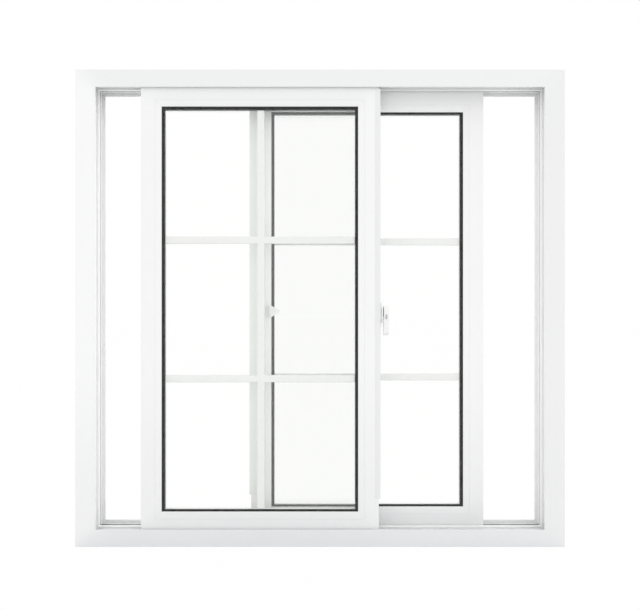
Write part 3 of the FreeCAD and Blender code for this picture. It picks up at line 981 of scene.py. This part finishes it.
# Painted light and shade: left jamb lightest, right jamb and head darker, sill darkest and bluish.
FRAME_PAINTED_LIGHT = RingPaintedLightTones(
    left=(0.945, 0.947, 0.947),
    right=(0.85, 0.853, 0.852),
    top=(0.872, 0.874, 0.88),
    bottom=(0.815, 0.833, 0.85),
)
# Painted light in the frame's channels, lighter than its faces; painted shade in the head's.
CHANNEL_PAINTED_LIGHT = RingPaintedLightTones(
    left=(0.975, 0.977, 0.976),
    right=(0.975, 0.977, 0.976),
    top=(0.895, 0.905, 0.9),
    bottom=(0.985, 0.987, 0.986),
)
# Painted light and shade on the sashes: rails darker than stiles, bottom rails darkest.
STILE_WHITE = (0.925, 0.927, 0.925)
FRONT_SASH_PAINTED_LIGHT = RingPaintedLightTones(
    left=STILE_WHITE, right=STILE_WHITE, top=(0.885, 0.895, 0.89), bottom=(0.86, 0.868, 0.876)
)
# The rear sash sits in the front sash's and the head's shade, so it is painted lighter.
REAR_SASH_PAINTED_LIGHT = RingPaintedLightTones(
    left=(0.96, 0.963, 0.955),
    right=STILE_WHITE,
    top=(0.925, 0.932, 0.93),
    bottom=(0.915, 0.922, 0.93),
)
BODY_OF = {
    node: body for body, nodes in frame["record"]["behaviour"]["bodies"].items() for node in nodes
}


# Sub-assemblies

@dataclass
class OuterFrame:
    """The fixed frame with its track caps, brush seals and drain covers."""

    edge: float = 0.0006
    track_edge: float = 0.0002
    lip_face: float = 0.043
    divider_face: float = 0.005
    seal_reach: float = 0.0043
    seal_inset: float = 0.0305
    seal_width: float = 0.0046
    seal_edge: float = 0.0007
    cover_x: float = 0.45
    cover_z: float = 0.0205
    cover_size: tuple[float, float, float] = (0.046, 0.003, 0.014)
    cover_rim: float = 0.0026
    cover_dish: float = 0.0012
    cover_edge: float = 0.0005

    def members(self) -> None:
        """Round the four members' edges and give them their finish."""
        finish = ExtrudedPlastic(
            "frame_plastic", FRAME_PAINTED_LIGHT, FRAME_RING, channel_painted_light=CHANNEL_PAINTED_LIGHT, face_y=-HALF_DEPTH
        )
        for node in ("frame_head", "frame_sill", "frame_left_jamb", "frame_right_jamb"):
            BENCH.softened(node, finish, self.edge, spare_mitres=True)

    def tracks(self) -> None:
        """Give the aluminium track caps rounded edges and a drawn finish."""
        metal = BareMetal("track_aluminium", (0.78, 0.79, 0.8), (0.62, 0.63, 0.64), Grain.ACROSS)
        for node in ("front_sill_track", "rear_sill_track"):
            BENCH.softened(node, metal, self.track_edge)

    def brush_seals(self) -> None:
        """Set a ring of brush pile on each face that a sash slides past."""
        seats = {
            "front_lip_brush": (-self.lip_face, -self.lip_face + self.seal_reach),
            "divider_brush": (self.divider_face, self.divider_face + self.seal_reach),
        }
        for name, depth in seats.items():
            shape = bmesh.new()
            BENCH.ring(shape, FRAME_RING, self.seal_inset, self.seal_width, depth)
            BENCH.soften(shape, self.seal_edge)
            BENCH.piece(name, shape, WovenPile(), "frame")

    def drain_covers(self) -> None:
        """Put a hooded cover over each drain slot on the outside."""
        width, depth, height = self.cover_size
        shape = bmesh.new()
        for x in (-self.cover_x, self.cover_x):
            span = Span(
                (x - width / 2, x + width / 2),
                (HALF_DEPTH, HALF_DEPTH + depth),
                (self.cover_z - height / 2, self.cover_z + height / 2),
            )
            BENCH.block(shape, span)
        outside = [face for face in shape.faces if face.normal.y > 0.9]
        bmesh.ops.inset_individual(shape, faces=outside, thickness=self.cover_rim)
        dish = list({vert for face in outside for vert in face.verts})
        bmesh.ops.translate(shape, vec=Vector((0.0, -self.cover_dish, 0.0)), verts=dish)
        BENCH.soften(shape, self.cover_edge)
        finish = MouldedNylon("drain_cover_plastic", (0.84, 0.85, 0.85), (0.74, 0.75, 0.74))
        BENCH.piece("drain_covers", shape, finish, "frame")

    def build(self) -> None:
        """Dress the whole frame."""
        self.members()
        self.tracks()
        self.brush_seals()
        self.drain_covers()


@dataclass
class GlazedSash:
    """One sliding sash with its beads, seals, sealed glass unit, grid and rollers.

    Its y is its middle plane, meeting is the side of the meeting stile (1 right, -1 left),
    tones hold its painted light and shade, cover is the colour of its interlock with painted
    light in it, and lipped names the beads with a long lip.
    """

    body: str
    centre_x: float
    y: float
    meeting: int
    tones: RingPaintedLightTones
    cover: Colour
    lipped: tuple[str, ...]
    centre_z: float = 0.582
    half_width: float = 0.293
    half_height: float = 0.551
    edge: float = 0.0007
    bead_edge: float = 0.0004
    gasket_edge: float = 0.0004
    spacer_edge: float = 0.0003
    grid_edge: float = 0.002
    cover_edge: float = 0.0005
    carriage_edge: float = 0.0002
    roller_edge: float = 0.0003
    lip_faces: tuple[float, float] = (-0.0126, -0.0109)
    lip_root: float = 0.001
    lip_reach: float = 0.0021
    lip_end: float = 0.019
    lip_edge: float = 0.0005
    back_face: float = 0.014
    brush_reach: float = 0.0043
    brush_inset: float = 0.0063
    brush_width: float = 0.0046
    brush_end: float = 0.262
    brush_edge: float = 0.0007
    ring: WeldedRing = field(init=False)

    def __post_init__(self) -> None:
        """Work out the ring that the sash's welds lie on."""
        self.ring = WeldedRing(self.centre_x, self.centre_z, self.half_width, self.half_height)

    def node(self, part: str) -> str:
        """Return the node name of one of this sash's parts."""
        return f"{self.body}_{part}"

    def members(self) -> None:
        """Round the rails and stiles and give them their finish."""
        finish = ExtrudedPlastic(self.node("plastic"), self.tones, self.ring)
        for part in ("top_rail", "bottom_rail", "left_stile", "right_stile"):
            BENCH.softened(self.node(part), finish, self.edge, spare_mitres=True)

    def unwelded(self, name: str, tones: RingPaintedLightTones, roughness: float) -> ExtrudedPlastic:
        """Return the plastic of parts that are clipped or screwed on, and so have no weld."""
        return ExtrudedPlastic(self.node(name), tones, self.ring, welded=False, roughness=roughness)

    def beads(self) -> None:
        """Round the glazing beads, which are cut and clipped in, so their joints show."""
        finish = self.unwelded("bead_plastic", self.tones, 0.28)
        for side in ("top", "bottom", "left", "right"):
            BENCH.softened(self.node(f"{side}_bead"), finish, self.bead_edge)

    def bead_lips(self) -> None:
        """Carry the lip of each long-lipped bead over the outer edge of its gasket."""
        shape = bmesh.new()
        for side in self.lipped:
            low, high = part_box(self.node(f"{side}_bead"))
            tip, way = (high[2], 1) if side == "bottom" else (low[2], -1)
            below, above = sorted((tip - way * self.lip_root, tip + way * self.lip_reach))
            span = Span(
                (low[0] + self.lip_end, high[0] - self.lip_end),
                (self.y + self.lip_faces[0], self.y + self.lip_faces[1]),
                (below, above),
            )
            BENCH.block(shape, span)
        BENCH.soften(shape, self.lip_edge)
        finish = self.unwelded("bead_plastic", self.tones, 0.28)
        BENCH.piece(f"{self.body}_bead_lips", shape, finish, self.body)

    def glazing(self) -> None:
        """Finish the seals, the panes, the edge spacer, the grid and the setting blocks."""
        BENCH.softened(self.node("gaskets"), Rubber(), self.gasket_edge)
        BENCH.softened(self.node("glass_spacer"), SpacerBar(), self.spacer_edge)
        for pane in ("inner_pane", "outer_pane"):
            BENCH.paint(self.node(pane), FloatGlass())
        grid = PaintedMetal("grid_paint", (0.885, 0.89, 0.88), (0.85, 0.855, 0.845))
        BENCH.softened(self.node("grid_bars"), grid, self.grid_edge)
        packer = MouldedNylon("packer_plastic", (0.1, 0.22, 0.5), (0.2, 0.3, 0.5))
        BENCH.paint(self.node("setting_blocks"), packer)

    def interlock(self) -> None:
        """Round the interlock's edges."""
        # The cover colour is painted light: the rear one, in the front sash's shade, is lighter.
        tones = RingPaintedLightTones(self.cover, self.cover, self.cover, self.cover)
        finish = self.unwelded("cover_plastic", tones, 0.34)
        BENCH.softened(self.node("interlock"), finish, self.cover_edge)

    def brush_seals(self) -> None:
        """Set brush pile on the back of both rails and of the stile that closes on the jamb."""
        shape = bmesh.new()
        depth = (self.y + self.back_face, self.y + self.back_face + self.brush_reach)
        side = -self.meeting
        near = self.half_width - self.brush_inset
        far = near - self.brush_width
        high = self.half_height - self.brush_inset
        low = high - self.brush_width
        left, right = sorted((self.centre_x + side * near, self.centre_x - side * self.brush_end))
        for bottom, top in ((low, high), (-high, -low)):
            rail = (self.centre_z + bottom, self.centre_z + top)
            BENCH.block(shape, Span((left, right), depth, rail))
        left, right = sorted((self.centre_x + side * near, self.centre_x + side * far))
        BENCH.block(shape, Span((left, right), depth, (self.centre_z - low, self.centre_z + low)))
        BENCH.soften(shape, self.brush_edge)
        BENCH.piece(f"{self.body}_brush", shape, WovenPile(), self.body)

    def running_gear(self) -> None:
        """Finish the roller carriages and their wheels."""
        steel = BareMetal("carriage_zinc", (0.7, 0.71, 0.72), (0.5, 0.5, 0.48), Grain.NONE, 0.32)
        BENCH.softened(self.node("roller_housings"), steel, self.carriage_edge)
        nylon = MouldedNylon("wheel_nylon", (0.8, 0.79, 0.74), (0.6, 0.59, 0.55))
        BENCH.softened(self.node("rollers"), nylon, self.roller_edge)

    def build(self) -> None:
        """Dress the whole sash."""
        self.members()
        self.beads()
        self.bead_lips()
        self.glazing()
        self.interlock()
        self.brush_seals()
        self.running_gear()


@dataclass
class SashLock:
    """The lock's plate and lever on the front sash, the keeper on the rear one, their screws."""

    peel_scale: float = 1500.0
    plate_edge: float = 0.0005
    casting_edge: float = 0.0004
    plate_thickness: float = 0.0025
    plate_y: float = -0.024
    spindle_z: float = 0.577
    plate_screws: tuple[float, float] = (0.0175, -0.034)
    screw_sunk: float = 0.0014
    washer_bore: float = 0.0088
    washer_rim: float = 0.0128
    washer_faces: tuple[float, float] = (0.0054, 0.0085)
    dark_edge: float = 0.0003
    plug_size: tuple[float, float, float] = (0.0056, 0.014, 0.0012)
    plug_y: float = -0.0354
    plug_from_plate: float = 0.0149
    plug_below: float = 0.013
    plug_lean: float = 0.098
    keeper_screws: tuple[float, float] = (-0.009, 0.009)
    keeper_screw_x: float = 0.009
    keeper_foot: float = 0.003

    def painted(self, name: str, colour: Colour, worn: Colour, roughness: float) -> PaintedMetal:
        """Return a paint with the fine peel of small castings."""
        return PaintedMetal(name, colour, worn, roughness, self.peel_scale)

    def castings(self) -> None:
        """Round the castings and paint them."""
        plate = self.painted("lock_plate_paint", (0.9, 0.905, 0.9), (0.85, 0.855, 0.85), 0.3)
        BENCH.softened("lock_base", plate, self.plate_edge)
        lever = self.painted("lock_paint", (0.92, 0.925, 0.92), (0.87, 0.875, 0.87), 0.26)
        BENCH.softened("lock_lever", lever, self.casting_edge)
        keeper = self.painted("lock_keeper_paint", (0.9, 0.905, 0.89), (0.8, 0.8, 0.78), 0.34)
        BENCH.softened("lock_keeper", keeper, self.casting_edge)

    def washer(self) -> None:
        """Fit a black washer round the lever's neck: painted shade for the gap between cam and
        grip.
        """
        low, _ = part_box("lock_base")
        middle = Vector((0.0, self.plate_y, self.spindle_z))
        faces = (low[0] + self.washer_faces[0], low[0] + self.washer_faces[1])
        shape = bmesh.new()
        CollarAboutX(middle, self.washer_bore, self.washer_rim, faces).add(shape)
        BENCH.soften(shape, self.dark_edge)
        # Painted shade: a black ring where the gap between cam and grip lies in shade.
        washer_shade = MouldedNylon("washer_painted_shade", (0.006, 0.006, 0.006), (0.012, 0.012, 0.012))
        BENCH.piece("lever_washer", shape, washer_shade, "lock_lever")

    def plug(self) -> None:
        """Set the oval plug over the set screw in the grip's room-side edge."""
        low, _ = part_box("lock_base")
        shape = bmesh.new()
        bmesh.ops.create_cone(
            shape, cap_ends=True, segments=32, radius1=0.5, radius2=0.5, depth=1.0
        )
        bmesh.ops.scale(shape, vec=Vector(self.plug_size), verts=shape.verts)
        BENCH.soften(shape, self.dark_edge)
        turn = Matrix.Rotation(math.pi / 2 + self.plug_lean, 4, "X")
        x, z = low[0] + self.plug_from_plate, self.spindle_z - self.plug_below
        seat = Vector((x, self.plug_y, z))
        bmesh.ops.transform(shape, matrix=Matrix.Translation(seat) @ turn, verts=shape.verts)
        # Painted shade: the plug's grey stands in for the shade of a shallow recess in the grip's
        # edge.
        recess_shade = MouldedNylon("plug_painted_shade", (0.5, 0.51, 0.51), (0.42, 0.42, 0.42))
        BENCH.piece("lever_plug", shape, recess_shade, "lock_lever")

    def screws(self) -> None:
        """Add the heads of the screws that hold the plate and the keeper."""
        low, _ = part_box("lock_base")
        face = low[0] + self.plate_thickness - self.screw_sunk
        shape = bmesh.new()
        for above in self.plate_screws:
            at = Vector((face, self.plate_y, self.spindle_z + above))
            CrossScrew().add(shape, at, Vector((1.0, 0.0, 0.0)))
        steel = BareMetal("screw_steel", (0.72, 0.72, 0.71), (0.55, 0.55, 0.53), Grain.NONE, 0.22)
        BENCH.piece("lock_plate_screws", shape, steel, "front_sash")
        low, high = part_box("lock_keeper")
        shape = bmesh.new()
        for above in self.keeper_screws:
            x, y = low[0] + self.keeper_screw_x, high[1] - self.keeper_foot
            at = Vector((x, y, self.spindle_z + above))
            CrossScrew().add(shape, at, Vector((0.0, -1.0, 0.0)))
        white = self.painted("screw_paint", (0.88, 0.885, 0.88), (0.8, 0.8, 0.79), 0.3)
        BENCH.piece("keeper_screws", shape, white, "rear_sash")

    def build(self) -> None:
        """Dress the lock."""
        self.castings()
        self.washer()
        self.plug()
        self.screws()


# Studio

@dataclass(frozen=True)
class Lamp:
    """A soft square lamp that looks at the window's middle."""

    name: str
    place: tuple[float, float, float]
    size: float
    watts: float

    def build(self, target: Vector) -> None:
        """Hang the lamp and turn it.

        Args:
            target: The point that it faces.
        """
        data = bpy.data.lights.new(self.name, "AREA")
        data.size = self.size
        data.energy = self.watts
        made = put_in_scene(self.name, data)
        made.location = self.place
        made.rotation_euler = (target - Vector(self.place)).to_track_quat("-Z", "Y").to_euler()


@dataclass
class Studio:
    """White room, pale floor, soft lamps and the camera of the photograph."""

    lens: float = 43.15
    sensor: float = 36.0
    distance: float = 1.88
    camera_z: float = 0.593
    floor_size: float = 40.0
    ambient: float = 1.0
    target: tuple[float, float, float] = (0.0, 0.0, 0.6)
    lamps: tuple[Lamp, ...] = (
        Lamp("key_upper_left", (-2.3, -2.5, 2.4), 1.6, 3.5),
        Lamp("fill_right", (2.9, -2.1, 1.5), 1.6, 8.0),
        Lamp("back_left", (-3.2, 1.0, 1.6), 1.4, 14.0),
        Lamp("back_right", (3.4, 1.1, 2.0), 1.4, 30.0),
        Lamp("back_top", (0.3, 0.7, 3.4), 1.4, 12.0),
    )

    def camera(self) -> None:
        """Set up the camera straight in front of the window."""
        data = bpy.data.cameras.new("camera")
        data.lens = self.lens
        data.sensor_width = self.sensor
        made = put_in_scene("camera", data)
        made.location = (0.0, -HALF_DEPTH - self.distance, self.camera_z)
        made.rotation_euler = (math.pi / 2, 0.0, 0.0)
        bpy.context.scene.camera = made

    def floor(self) -> None:
        """Lay the pale floor that keeps the window's shadow."""
        shape = bmesh.new()
        bmesh.ops.create_grid(shape, x_segments=1, y_segments=1, size=self.floor_size)
        mesh = bpy.data.meshes.new("studio_floor")
        shape.to_mesh(mesh)
        shape.free()
        mesh.materials.append(BOOK.get(StudioWhite()))
        made = put_in_scene("studio_floor", mesh)

    def sky(self) -> None:
        """Set the world: plain light on the object, white to the camera and in the glass."""
        world = bpy.data.worlds.new("studio_world")
        bpy.context.scene.world = world
        recipe = Recipe(world)
        strength = self.ambient + recipe.seen_directly() * (1.0 - self.ambient)
        values = {"Color": (1.0, 1.0, 1.0, 1.0), "Strength": strength}
        recipe.finish(recipe.node("ShaderNodeBackground", {}, values))

    def build(self) -> None:
        """Set up the room, the lamps and the camera."""
        self.camera()
        self.floor()
        self.sky()
        for lamp in self.lamps:
            lamp.build(Vector(self.target))
        bpy.context.scene.view_settings.view_transform = "Standard"


def main() -> None:
    """Build the studio and every sub-assembly in order."""
    logging.basicConfig(level=logging.INFO, format="%(message)s")
    # Tones and covers hold painted light; the rear sash, which lies in shade, is painted lighter.
    front_sash = GlazedSash(
        body="front_sash",
        centre_x=-0.1481,
        y=-0.024,
        meeting=1,
        tones=FRONT_SASH_PAINTED_LIGHT,
        cover=(0.84, 0.848, 0.848),
        lipped=("bottom",),
    )
    rear_sash = GlazedSash(
        body="rear_sash",
        centre_x=0.1193,
        y=0.024,
        meeting=-1,
        tones=REAR_SASH_PAINTED_LIGHT,
        cover=(0.91, 0.918, 0.908),
        lipped=("bottom", "top"),
    )
    for assembly in (Studio(), OuterFrame(), front_sash, rear_sash, SashLock()):
        assembly.build()


if __name__ == "__main__":
    main()
